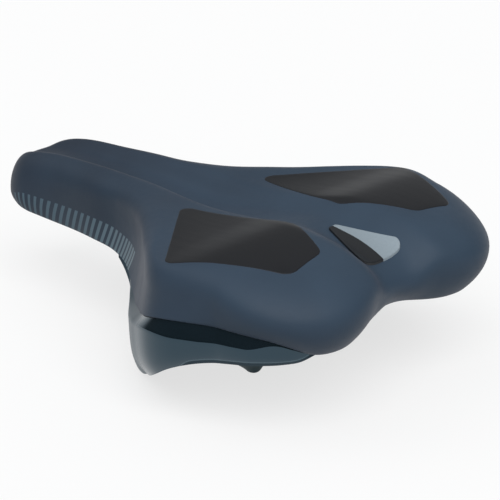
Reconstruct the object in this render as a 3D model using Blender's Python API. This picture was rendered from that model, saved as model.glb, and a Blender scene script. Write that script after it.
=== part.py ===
"""A padded bicycle saddle that rocks on a nose pivot over two rubber dampers.

Metres, +X towards the nose, +Y to the rider's left, +Z up. The origin lies midway between the two rails,
at the height of their centre lines, where a seatpost clamp takes hold.
"""

import math

import bmesh
import bpy
import numpy as np
from mathutils import Matrix, Vector

for old in list(bpy.data.objects):
    bpy.data.objects.remove(old, do_unlink=True)

# Clearances.
GAP = 0.0003
HOLE_PLAY = 0.0003
CUTTER_REACH = 0.020
PIN_PLAY = 0.0003

# Plan outline. Stations are distances behind the nose tip.
NOSE_X = 0.135
LENGTH = 0.2686
NOSE_ROUND = 0.0235
TAIL_START = 0.209
TAIL_POWER = 2.2
NOTCH_DEPTH = 0.0234
NOTCH_SPREAD = 0.0348
HALF_WIDTHS = (
    (0.0, 0.0266), (0.050, 0.0243), (0.075, 0.0265), (0.095, 0.0281), (0.112, 0.0342),
    (0.130, 0.0473), (0.150, 0.0657), (0.175, 0.0869), (TAIL_START, 0.0834),
)

# Heights of the cushion.
CREST = (
    (0.0, 0.0541), (0.030, 0.0602), (0.060, 0.0610), (0.100, 0.0608), (0.150, 0.0584),
    (0.175, 0.0600), (0.200, 0.0635), (0.220, 0.0624), (0.240, 0.0590), (LENGTH, 0.0532),
)
FALL = (
    (0.0, 0.0069), (0.040, 0.0015), (0.090, -0.0019), (0.130, -0.0042),
    (0.170, 0.0017), (0.210, 0.0053), (LENGTH, 0.0133),
)
FALL_POWER = 3.0
CHANNEL_DEPTH = (
    (0.0, 0.0008), (0.020, 0.0046), (0.060, 0.0056), (0.120, 0.0086),
    (0.180, 0.0056), (0.230, 0.0096), (LENGTH, 0.0095),
)
CHANNEL_WIDTH = (
    (0.0, 0.0104), (0.020, 0.0108), (0.060, 0.0107), (0.120, 0.0127),
    (0.180, 0.0154), (0.230, 0.0180), (LENGTH, 0.0176),
)
CHANNEL_POWER = 4.0
SHOULDER_RUN = (
    (0.0, 0.0131), (0.050, 0.0137), (0.090, 0.0168), (0.115, 0.0176), (0.135, 0.0136),
    (0.160, 0.0050), (0.185, 0.0060), (0.210, 0.0136), (0.235, 0.0264), (LENGTH, 0.0334),
)
SHOULDER_DROP = (
    (0.0, 0.0172), (0.050, 0.0152), (0.090, 0.0138), (0.115, 0.0135), (0.135, 0.0114),
    (0.160, 0.0096), (0.185, 0.0109), (0.210, 0.0105), (0.235, 0.0115), (LENGTH, 0.0150),
)
SHOULDER_POWER = 2.2
HEM = (
    (0.0, 0.0300), (0.040, 0.0263), (0.090, 0.0264), (0.115, 0.0249), (0.135, 0.0205), (0.160, 0.0269),
    (0.180, 0.0337), (0.200, 0.0344), (0.215, 0.0338), (0.225, 0.0326), (0.235, 0.0305), (0.2444, 0.0266),
    (0.2493, 0.0238), (LENGTH, 0.0213),
)
TUCK = ((0.0, 0.0035), (0.060, 0.0018), (0.120, -0.0061), (0.180, -0.0011), (LENGTH, 0.0118))

# Cushion layers.
SPINE_FRONT = 0.026
SPINE_BACK = 0.208
HALF_COLUMNS = 28
CROWD = 1.2
CROWD_AT = 0.145
CROWD_SPREAD = 0.030
RING_SHARES = (0.0, 0.14, 0.30, 0.52, 0.76, 0.94, 1.0)
FLANK_ROWS = 2
SLOPE_STEP = 0.002
COVER_THICK = 0.0015
FOAM_INSET = 0.0024
# Corners carry their own rounding.
PAD_CORNERS = (
    (0.1398, 0.0308, 0.0045), (0.1975, 0.0166, 0.009), (0.2292, 0.0352, 0.007),
    (0.2285, 0.0575, 0.008), (0.1765, 0.0800, 0.006),
)
PAD_SUNK = 0.0004
PAD_THICK = 0.009
BADGE_CORNERS = (
    (0.2065, 0.0025, 0.0012), (0.2065, -0.0025, 0.0012), (0.2380, -0.0160, 0.004), (0.2380, 0.0160, 0.004),
)
BADGE_THICK = 0.001
BADGE_LIFT = 0.0011

# Base shell.
SHELL_THICK = 0.003
SHELL_NOSE_Z = 0.037
SHELL_WING_Z = 0.028
SHELL_STEP_FRONT = 0.075
SHELL_STEP_BACK = 0.100
SHELF = 0.012
SHELF_SHARE = 0.12
SLOPE_IN = 0.74

# Side fairings.
FAIRING_FRONT = 0.097
FAIRING_BACK = 0.2535
WING_FROM = 0.025
FAIRING_INSET = 0.001
FAIRING_THICK = 0.0022
FAIRING_FLANGE = 0.0095
FAIRING_BULGE = 0.085
FAIRING_CURL = 0.0025
FAIRING_BOTTOM = (
    (FAIRING_FRONT, 0.0252), (0.104, 0.0232), (0.111, 0.0205), (0.117, 0.0160), (0.123, 0.0080), (0.129, -0.0020),
    (0.135, -0.0090), (0.141, -0.0120), (0.147, -0.0118), (0.153, -0.0085), (0.160, -0.0045), (0.168, 0.0),
    (0.176, 0.0048), (0.185, 0.0100), (0.196, 0.0138), (0.210, 0.0165), (0.225, 0.0182), (0.240, 0.0190),
    (0.248, 0.0197), (FAIRING_BACK, 0.0212),
)
FAIRING_SCREWS = (0.137, 0.203)

# Screws.
SCREW_RADIUS = 0.0016
SCREW_HEAD_RADIUS = 0.0031
SCREW_HEAD = 0.0018
SCREW_HEAD_ROOM = 0.001
SCREW_HOLE_REACH = 0.012

# Rails.
RAIL_RADIUS = 0.0035
RAIL_HALF_SPACING = 0.022
RAIL_NOSE_HALF_SPACING = 0.008
CLAMP_FRONT = 0.024
CLAMP_BACK = -0.020
RAIL_LEAD = 0.002
RAIL_END = 0.003
END_PULL = 0.004
BACK_PULL = 0.009
FRONT_PULL = 0.012

# Nose pivot.
PIVOT_X = 0.076
PIVOT_Z = 0.0285
PIN_RADIUS = 0.003
YOKE_HALF_WIDTH = 0.0125
YOKE_HALF_HEIGHT = 0.0045
YOKE_BACK = 0.020
YOKE_FRONT = 0.006
YOKE_SOCKET = 0.013
TONGUE_HALF_WIDTH = 0.0046
TONGUE_HALF_LENGTH = 0.0045
TONGUE_BELOW = 0.0042
TONGUE_ROOM = 0.0008
BRACKET_THICK = 0.003
BRACKET_HALF_WIDTH = 0.012
BRACKET_BACK = 0.008
BRACKET_FRONT = 0.017
BRACKET_SCREW_X = 0.0115
BRACKET_SCREW_Y = 0.0075

# Rear bridge and dampers.
DAMPER_X = -0.051
DAMPER_Y = 0.032
DAMPER_RADIUS = 0.0085
DAMPER_WAIST = 0.007
CUP_RADIUS = 0.010
CUP_THICK = 0.003
CUP_EDGE = 0.001
BRIDGE_HALF_LENGTH = 0.008
BRIDGE_HALF_WIDTH = 0.042
BRIDGE_BOTTOM = 0.002
BRIDGE_THICK = 0.010
BRIDGE_BEVEL = 0.0015
FOOT_TOP_RADIUS = 0.008
FOOT_TIP_RADIUS = 0.0027
FOOT_HEIGHT = 0.0117
BOLT_RADIUS = 0.0025
BOLT_HEAD_RADIUS = 0.0042
BOLT_HEAD = 0.0032
BOLT_DEPTH = 0.006


def along(stations, at):
    """A smooth curve through (station, value) pairs, with slopes taken from the neighbouring stations."""
    xs, ys = np.array(stations).T
    slope = np.gradient(ys, xs)
    at = np.clip(at, xs[0], xs[-1])
    i = np.clip(np.searchsorted(xs, at, side="right") - 1, 0, len(xs) - 2)
    step = xs[i + 1] - xs[i]
    t = (at - xs[i]) / step
    start = (2 * t**3 - 3 * t**2 + 1) * ys[i] + (t**3 - 2 * t**2 + t) * step * slope[i]
    return start + (3 * t**2 - 2 * t**3) * ys[i + 1] + (t**3 - t**2) * step * slope[i + 1]


def half_outline(count):
    """Left half of the plan outline as (station, offset): nose arc, flared side, tail with its notch."""
    f = np.linspace(0, math.pi / 2, 60)
    nose = NOSE_ROUND * (1 - np.cos(f))
    nose_n = along(HALF_WIDTHS, nose) * np.sin(f) ** 0.9
    side = np.linspace(NOSE_ROUND, TAIL_START, 200)[1:]
    side_n = along(HALF_WIDTHS, side)
    g = np.linspace(0, math.pi / 2, 120)[1:]
    tail_n = side_n[-1] * np.clip(np.cos(g), 0, 1) ** (2 / TAIL_POWER)
    tail = TAIL_START + (LENGTH - TAIL_START) * np.sin(g) ** (2 / TAIL_POWER)
    tail = tail - NOTCH_DEPTH * np.exp(-((tail_n / NOTCH_SPREAD) ** 2))
    a = np.concatenate([nose, side, tail])
    n = np.concatenate([nose_n, side_n, tail_n])
    n[0] = 0
    n[-1] = 0
    run = np.concatenate([[0], np.cumsum(np.hypot(np.diff(a), np.diff(n)))])
    even = np.linspace(0, run[-1], count)
    return np.interp(even, run, a), np.interp(even, run, n)


FINE_A, FINE_N = half_outline(500)
# Columns crowd together where the nose flares into the wing.
crowd = 1 + CROWD * np.exp(-(((FINE_A - CROWD_AT) / CROWD_SPREAD) ** 2))
crowd = np.cumsum(crowd) - crowd[0]
picked = np.interp(np.linspace(0, crowd[-1], HALF_COLUMNS + 1), crowd, np.arange(len(FINE_A)))
HALF_A = np.interp(picked, np.arange(len(FINE_A)), FINE_A)
HALF_N = np.interp(picked, np.arange(len(FINE_A)), FINE_N)
# The whole outline runs from the nose tip along the left side to the tail and back along the right.
LOOP_A = np.concatenate([HALF_A, HALF_A[-2:0:-1]])
LOOP_N = np.concatenate([HALF_N, -HALF_N[-2:0:-1]])
TANGENT_A = np.roll(LOOP_A, -1) - np.roll(LOOP_A, 1)
TANGENT_N = np.roll(LOOP_N, -1) - np.roll(LOOP_N, 1)
TANGENT = np.hypot(TANGENT_A, TANGENT_N)
OUT_A = -TANGENT_N / TANGENT
OUT_N = TANGENT_A / TANGENT


def height(a, n):
    """Height of the cushion's top: crest, outward fall, centre channel and rounded shoulder."""
    a = np.asarray(a, float)
    n = np.abs(np.asarray(n, float))
    wide = along(HALF_WIDTHS, np.clip(a, NOSE_ROUND, TAIL_START))
    z = along(CREST, a) - along(FALL, a) * np.clip(n / wide, 0, 1.2) ** FALL_POWER
    z = z - along(CHANNEL_DEPTH, a) * np.exp(-((n / along(CHANNEL_WIDTH, a)) ** CHANNEL_POWER))
    # The nearest point of the outline lies on one of its chords.
    da = np.diff(FINE_A)
    dn = np.diff(FINE_N)
    ga = a[..., None] - FINE_A[:-1]
    gn = n[..., None] - FINE_N[:-1]
    t = np.clip((ga * da + gn * dn) / (da * da + dn * dn), 0, 1)
    away = np.hypot(ga - t * da, gn - t * dn)
    near = away.argmin(-1)
    station = FINE_A[near] + np.take_along_axis(t, near[..., None], -1)[..., 0] * da[near]
    k = np.clip(1 - away.min(-1) / along(SHOULDER_RUN, station), 0, 1)
    round_off = 1 - (1 - k**SHOULDER_POWER) ** (1 / SHOULDER_POWER)
    return z - along(SHOULDER_DROP, station) * round_off


def shell_centre(a):
    """Height of the shell's underside along its middle, which steps down behind the nose."""
    t = np.clip((a - SHELL_STEP_FRONT) / (SHELL_STEP_BACK - SHELL_STEP_FRONT), 0, 1)
    return SHELL_NOSE_Z + (SHELL_WING_Z - SHELL_NOSE_Z) * t * t * (3 - 2 * t)


def points(a, n, z):
    return np.stack(np.broadcast_arrays(NOSE_X - a, n, z), -1)


def spread(q, inset):
    """Stations and offsets of the loop at share q of the way from the spine to the inset outline."""
    a = LOOP_A - inset * OUT_A
    n = LOOP_N - inset * OUT_N
    spine = np.clip(LOOP_A, SPINE_FRONT, SPINE_BACK)
    return spine + q * (a - spine), q * n


def flank_inset(z):
    """How far the cushion's flank lies inside the outline at height z, from none at the rim to TUCK at the hem."""
    rim = height(LOOP_A, LOOP_N)
    return along(TUCK, LOOP_A) * ((rim - z) / (rim - along(HEM, LOOP_A))) ** 2


def skin_rows(last):
    """Outer surface of the cushion: rings from the spine to the outline, then the flank down to height last."""
    rows = []
    for q in RING_SHARES:
        a, n = spread(q, 0.0)
        rows.append(points(a, n, height(a, n)))
    rim = rows[-1][:, 2]
    for v in np.linspace(0, 1, FLANK_ROWS + 1)[1:]:
        z = rim + (last - rim) * v
        inset = flank_inset(z)
        rows.append(points(LOOP_A - inset * OUT_A, LOOP_N - inset * OUT_N, z))
    return np.array(rows)


def inward(rows, depth):
    """The surface moved inwards by depth, square to itself."""
    down = np.gradient(rows, axis=0)
    round_it = np.roll(rows, -1, axis=1) - np.roll(rows, 1, axis=1)
    normal = np.cross(down, round_it)
    normal[0] = np.cross((0, 1, 0), spine_slope(rows[0]))
    normal = normal / np.linalg.norm(normal, axis=2, keepdims=True)
    normal = normal * np.where(normal[:, :, 2:].mean() < 0, -1, 1)
    return rows - normal * depth


def spine_slope(row):
    """Direction along the spine at each of its points."""
    a = NOSE_X - row[:, 0]
    rise = (height(a + SLOPE_STEP, 0 * a) - height(a - SLOPE_STEP, 0 * a)) / (2 * SLOPE_STEP)
    return np.stack([0 * a - 1, 0 * a, rise], -1)


def material(name, colour, roughness, metallic=0.0):
    made = bpy.data.materials.new(name)
    made.use_nodes = True
    shader = made.node_tree.nodes["Principled BSDF"]
    shader.inputs["Base Color"].default_value = (*colour, 1.0)
    shader.inputs["Roughness"].default_value = roughness
    shader.inputs["Metallic"].default_value = metallic
    return made


def to_object(mesh, name, look):
    bmesh.ops.recalc_face_normals(mesh, faces=mesh.faces)
    data = bpy.data.meshes.new(name)
    mesh.to_mesh(data)
    mesh.free()
    made = bpy.data.objects.new(name, data)
    bpy.context.scene.collection.objects.link(made)
    if look is None:
        made.hide_render = True
        made.display_type = "WIRE"
    else:
        data.materials.append(material(name, *look))
    return made


def loft(name, rows, look, caps=False):
    """A closed body from rows of points that each run once round it. End rows close on themselves or get caps."""
    mesh = bmesh.new()
    made = [[mesh.verts.new(p) for p in row] for row in rows]
    count = len(made[0])
    for upper, lower in zip(made, made[1:]):
        for j in range(count):
            k = (j + 1) % count
            p, q, r, s = upper[j], lower[j], lower[k], upper[k]
            # Each quad is split along its shorter diagonal, so that two surfaces a gap apart split alike.
            if (p.co - r.co).length < (q.co - s.co).length:
                mesh.faces.new((p, q, r))
                mesh.faces.new((p, r, s))
            else:
                mesh.faces.new((p, q, s))
                mesh.faces.new((q, r, s))
    if caps:
        mesh.faces.new(made[0])
        mesh.faces.new(made[-1])
    bmesh.ops.remove_doubles(mesh, verts=mesh.verts, dist=1e-6)
    return to_object(mesh, name, look)


def lathe(name, profile, place, look, segments=24):
    """A turned body: profile is (radius, height) pairs from the axis at one end to the axis at the other."""
    turn = np.arange(segments) * 2 * math.pi / segments
    rows = []
    for r, z in profile:
        rows.append(np.stack([r * np.cos(turn), r * np.sin(turn), 0 * turn + z], -1))
    made = loft(name, rows, look)
    made.location = place
    return made


def block(name, low, high, look):
    """A box between two corners."""
    low = Vector(low)
    high = Vector(high)
    mesh = bmesh.new()
    bmesh.ops.create_cube(mesh, size=1.0)
    bmesh.ops.scale(mesh, vec=high - low, verts=mesh.verts)
    made = to_object(mesh, name, look)
    made.location = (low + high) / 2
    return made


def rod(name, radius, low, high, look, axis="Z", segments=20):
    """A plain cylinder from low to high along an axis."""
    low = Vector(low)
    high = Vector(high)
    mesh = bmesh.new()
    bmesh.ops.create_cone(
        mesh, cap_ends=True, segments=segments, radius1=radius, radius2=radius, depth=(high - low).length
    )
    made = to_object(mesh, name, look)
    made.location = (low + high) / 2
    if axis == "X":
        made.rotation_euler = (0, math.pi / 2, 0)
    if axis == "Y":
        made.rotation_euler = (math.pi / 2, 0, 0)
    return made


def cut(body, cutter):
    step = body.modifiers.new("cut " + cutter.name, "BOOLEAN")
    step.operation = "DIFFERENCE"
    step.solver = "EXACT"
    step.object = cutter


def join(body, other):
    step = body.modifiers.new("join " + other.name, "BOOLEAN")
    step.operation = "UNION"
    step.solver = "EXACT"
    step.object = other


def bevel(body, width):
    step = body.modifiers.new("bevel", "BEVEL")
    step.width = width
    step.segments = 2
    step.limit_method = "ANGLE"


def rounded(corners, grow, steps=3):
    """A polygon in plan moved outwards by grow, its corners (station, offset, radius) turned into arcs."""
    pts = [Vector(c[:2]) for c in corners]
    radii = [c[2] for c in corners]
    area = sum(p.x * q.y - q.x * p.y for p, q in zip(pts, pts[1:] + pts[:1]))
    if area < 0:
        pts.reverse()
        radii.reverse()
    found = []
    for i, p in enumerate(pts):
        back = (pts[i - 1] - p).normalized()
        ahead = (pts[(i + 1) % len(pts)] - p).normalized()
        half = back.angle(ahead) / 2
        middle = (back + ahead).normalized()
        centre = p + middle * (radii[i] / math.sin(half))
        start = Vector((-back.y, back.x))
        for s in range(steps + 1):
            turn = (math.pi - 2 * half) * s / steps
            d = Matrix.Rotation(turn, 2) @ start
            found.append(centre + d * (radii[i] + grow))
    return np.array([tuple(p) for p in found])


def patch(name, edge, top, bottom, look, rings=3):
    """A slab over a plan outline whose top and bottom follow the cushion at given heights above it."""
    middle = edge.mean(0)
    rows = []
    for lift, shares in ((top, np.linspace(0, 1, rings + 1)), (bottom, np.linspace(1, 0, rings + 1))):
        for share in shares:
            a, n = (middle + share * (edge - middle)).T
            rows.append(points(a, n, height(a, n) + lift))
    return loft(name, rows, look)


def mirrored(corners, side):
    return [(a, n * side, r) for a, n, r in corners]


def rim_place(a, inset):
    """A point inset from the left half of the outline at station a, square to the outline."""
    upto = int(np.argmax(FINE_A)) + 1
    i = int(np.searchsorted(FINE_A[:upto], a))
    ta = FINE_A[i + 1] - FINE_A[i - 1]
    tn = FINE_N[i + 1] - FINE_N[i - 1]
    size = math.hypot(ta, tn)
    return FINE_A[i] + inset * tn / size, FINE_N[i] - inset * ta / size


FABRIC = ((0.045, 0.06, 0.085), 0.7)
FOAM = ((0.75, 0.72, 0.6), 0.9)
GEL = ((0.012, 0.012, 0.014), 0.3)
PLASTIC = ((0.02, 0.02, 0.022), 0.5)
GLOSS = ((0.01, 0.012, 0.014), 0.08)
BADGE = ((0.35, 0.4, 0.43), 0.4)
STEEL = ((0.35, 0.35, 0.36), 0.35, 1.0)
DARK_STEEL = ((0.08, 0.08, 0.085), 0.4, 1.0)
RUBBER = ((0.03, 0.03, 0.03), 0.8)

# Everything that rocks hangs from this empty, which sits on the pivot's axis.
pivot = bpy.data.objects.new("seat_pivot", None)
bpy.context.scene.collection.objects.link(pivot)
pivot.location = (PIVOT_X, 0, PIVOT_Z)
bpy.context.view_layer.update()
seat = []

# Cover: the skin between the outer surface and the same surface moved inwards.
hem_height = along(HEM, LOOP_A)
outer = skin_rows(hem_height)
inner = inward(outer, COVER_THICK)
inner[-1, :, 2] = hem_height
cover = loft("cover", np.concatenate([outer, inner[::-1]]), FABRIC)
seat.append(cover)

# Base shell: a dished plate whose rim lies on a shelf just inside the hem.
shell_inset = along(TUCK, LOOP_A) + FOAM_INSET
# Where the flank leans outwards on its way down, the shell's upper edge stands further in than its lower one.
upper_inset = np.maximum(shell_inset, flank_inset(hem_height + SHELL_THICK + GAP) + FOAM_INSET)
reach = np.hypot(LOOP_A - np.clip(LOOP_A, SPINE_FRONT, SPINE_BACK), LOOP_N)
shelf_width = np.minimum(SHELF, SHELF_SHARE * reach)
centre_height = shell_centre(LOOP_A)
plate = []
for q in (0.0, 0.4, SLOPE_IN):
    a, n = spread(q, shell_inset)
    plate.append(points(a, n, centre_height))
plate[0][:, 2] = shell_centre(NOSE_X - plate[0][:, 0])
for inset in (shell_inset + shelf_width, shell_inset):
    plate.append(points(LOOP_A - inset * OUT_A, LOOP_N - inset * OUT_N, hem_height))
plate = np.array(plate)
plate_top = plate + (0, 0, SHELL_THICK)
plate_top[-1, :, 0] = NOSE_X - LOOP_A + upper_inset * OUT_A
plate_top[-1, :, 1] = LOOP_N - upper_inset * OUT_N
shell = loft("base_shell", np.concatenate([plate_top, plate[::-1]]), PLASTIC)
seat.append(shell)

# Foam: fills the cover down to the shell.
core = inward(skin_rows(hem_height + SHELL_THICK + GAP), FOAM_INSET)
core[-1] = plate_top[-1] + (0, 0, GAP)
bed = plate_top[:-1] + (0, 0, GAP)
foam = loft("foam_core", np.concatenate([core, bed[::-1]]), FOAM)
seat.append(foam)

# Gel pads in their windows.
for word, side in (("left", 1), ("right", -1)):
    corners = mirrored(PAD_CORNERS, side)
    window = rounded(corners, GAP)
    hole = patch("pad_hole_" + word, window, CUTTER_REACH, -PAD_THICK - GAP, None)
    cut(cover, hole)
    cut(foam, hole)
    edge = rounded(corners, 0.0)
    seat.append(patch("gel_pad_" + word, edge, -PAD_SUNK, -PAD_THICK, GEL))

# Tail badge, bonded on the cover in the channel.
edge = rounded(BADGE_CORNERS, 0.0)
seat.append(patch("tail_badge", edge, BADGE_LIFT + BADGE_THICK, BADGE_LIFT, BADGE))


def screw(name, place, grip):
    """A pan head below place with its shank reaching grip above the head's seat."""
    profile = (
        (0, -SCREW_HEAD), (0.7 * SCREW_HEAD_RADIUS, -SCREW_HEAD), (SCREW_HEAD_RADIUS, -0.5 * SCREW_HEAD),
        (SCREW_HEAD_RADIUS, 0), (SCREW_RADIUS, 0), (SCREW_RADIUS, grip), (0, grip),
    )
    return lathe(name, profile, place, DARK_STEEL, 16)


def screw_hole(name, place, depth):
    x, y, z = place
    return rod(name, SCREW_RADIUS + HOLE_PLAY, (x, y, z - depth), (x, y, z + depth), None, segments=16)


# Side fairings: an angle section swept under the wing's hem, with a flange on the shell's shelf.
for word, side in (("left", 1), ("right", -1)):
    wing = (HALF_N > WING_FROM) & (np.arange(HALF_COLUMNS + 1) < np.argmax(HALF_A))
    wing = wing & (HALF_A >= FAIRING_FRONT) & (HALF_A <= FAIRING_BACK)
    pick = np.flatnonzero(wing & (along(HEM, HALF_A) - along(FAIRING_BOTTOM, HALF_A) > 2 * FAIRING_THICK))
    rows = []
    for i in pick:
        top = along(HEM, HALF_A[i]) - GAP
        low = along(FAIRING_BOTTOM, HALF_A[i])
        start = along(TUCK, HALF_A[i]) + FAIRING_INSET
        drop = np.linspace(0, 1, 6)
        curl = FAIRING_CURL * drop**3 - FAIRING_BULGE * (top - low) * 4 * drop * (1 - drop)
        outside = [(start + c, top + (low - top) * v) for c, v in zip(curl, drop)]
        under = low + FAIRING_THICK * 0.4
        roof = top - FAIRING_THICK
        inside = [(start + FAIRING_THICK + c, roof + (under - roof) * v) for c, v in zip(curl, drop)]
        flange = [(start + FAIRING_FLANGE, roof), (start + FAIRING_FLANGE, top)]
        section = np.array(outside + inside[::-1] + flange)
        a = HALF_A[i] - section[:, 0] * OUT_A[i]
        n = (HALF_N[i] - section[:, 0] * OUT_N[i]) * side
        rows.append(points(a, n, section[:, 1]))
    fairing = loft("side_fairing_" + word, rows, GLOSS, caps=True)
    seat.append(fairing)
    for number, station in enumerate(FAIRING_SCREWS, 1):
        wall = along(TUCK, station) + FAIRING_INSET + FAIRING_THICK
        a, n = rim_place(station, wall + SCREW_HEAD_RADIUS + SCREW_HEAD_ROOM)
        seat_z = along(HEM, station) - GAP - FAIRING_THICK
        place = (NOSE_X - a, n * side, seat_z - GAP)
        hole = screw_hole(f"fairing_hole_{word}_{number}", place, SCREW_HOLE_REACH)
        cut(fairing, hole)
        cut(shell, hole)
        grip = GAP + FAIRING_THICK + GAP + SHELL_THICK
        seat.append(screw(f"fairing_screw_{word}_{number}", place, grip))

# Nose bracket: a plate under the shell with a tongue round the pivot pin.
bracket_top = SHELL_NOSE_Z - GAP
bracket_low = bracket_top - BRACKET_THICK
bracket = block(
    "nose_bracket",
    (PIVOT_X - BRACKET_BACK, -BRACKET_HALF_WIDTH, bracket_low),
    (PIVOT_X + BRACKET_FRONT, BRACKET_HALF_WIDTH, bracket_top),
    PLASTIC,
)
tongue = block(
    "nose_tongue",
    (PIVOT_X - TONGUE_HALF_LENGTH, -TONGUE_HALF_WIDTH, PIVOT_Z - TONGUE_BELOW),
    (PIVOT_X + TONGUE_HALF_LENGTH, TONGUE_HALF_WIDTH, bracket_low + BRACKET_THICK / 2),
    None,
)
join(bracket, tongue)
pin_ends = YOKE_HALF_WIDTH + GAP
tongue_bore = rod(
    "tongue_bore", PIN_RADIUS + PIN_PLAY,
    (PIVOT_X, -pin_ends, PIVOT_Z), (PIVOT_X, pin_ends, PIVOT_Z), None, axis="Y", segments=32,
)
cut(bracket, tongue_bore)
seat.append(bracket)
for word, side in (("left", 1), ("right", -1)):
    place = (PIVOT_X + BRACKET_SCREW_X, BRACKET_SCREW_Y * side, bracket_low - GAP)
    hole = screw_hole("bracket_hole_" + word, place, SCREW_HOLE_REACH)
    cut(bracket, hole)
    cut(shell, hole)
    seat.append(screw("bracket_screw_" + word, place, GAP + BRACKET_THICK + GAP + SHELL_THICK))

# Upper damper cups under the shell.
cup_top = SHELL_WING_Z - GAP
cup_low = cup_top - CUP_THICK
for word, side in (("left", 1), ("right", -1)):
    profile = (
        (0, 0), (CUP_RADIUS - CUP_EDGE, 0), (CUP_RADIUS, CUP_EDGE),
        (CUP_RADIUS, CUP_THICK), (0, CUP_THICK),
    )
    cup = lathe("upper_cup_" + word, profile, (DAMPER_X, DAMPER_Y * side, cup_low), PLASTIC)
    seat.append(cup)

# Yoke: holds the rails' front ends and carries the pin between its cheeks.
yoke = block(
    "nose_yoke",
    (PIVOT_X - YOKE_BACK, -YOKE_HALF_WIDTH, PIVOT_Z - YOKE_HALF_HEIGHT),
    (PIVOT_X + YOKE_FRONT, YOKE_HALF_WIDTH, PIVOT_Z + YOKE_HALF_HEIGHT),
    PLASTIC,
)
slot = block(
    "yoke_slot",
    (PIVOT_X - TONGUE_HALF_LENGTH - TONGUE_ROOM, -TONGUE_HALF_WIDTH - GAP, PIVOT_Z - 2 * YOKE_HALF_HEIGHT),
    (PIVOT_X + 2 * YOKE_FRONT, TONGUE_HALF_WIDTH + GAP, PIVOT_Z + 2 * YOKE_HALF_HEIGHT),
    None,
)
cut(yoke, slot)
pin_hole = rod(
    "pin_hole", PIN_RADIUS + PIN_PLAY,
    (PIVOT_X, -2 * YOKE_HALF_WIDTH, PIVOT_Z), (PIVOT_X, 2 * YOKE_HALF_WIDTH, PIVOT_Z),
    None, axis="Y", segments=32,
)
cut(yoke, pin_hole)
rod(
    "pivot_pin", PIN_RADIUS,
    (PIVOT_X, -YOKE_HALF_WIDTH, PIVOT_Z), (PIVOT_X, YOKE_HALF_WIDTH, PIVOT_Z),
    STEEL, axis="Y", segments=32,
)

# Rear bridge across the rails.
bridge_top = BRIDGE_BOTTOM + BRIDGE_THICK
rail_rise = BRIDGE_BOTTOM + BRIDGE_THICK / 2
bridge = block(
    "rear_bridge",
    (DAMPER_X - BRIDGE_HALF_LENGTH, -BRIDGE_HALF_WIDTH, BRIDGE_BOTTOM),
    (DAMPER_X + BRIDGE_HALF_LENGTH, BRIDGE_HALF_WIDTH, bridge_top),
    PLASTIC,
)
bevel(bridge, BRIDGE_BEVEL)

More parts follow.
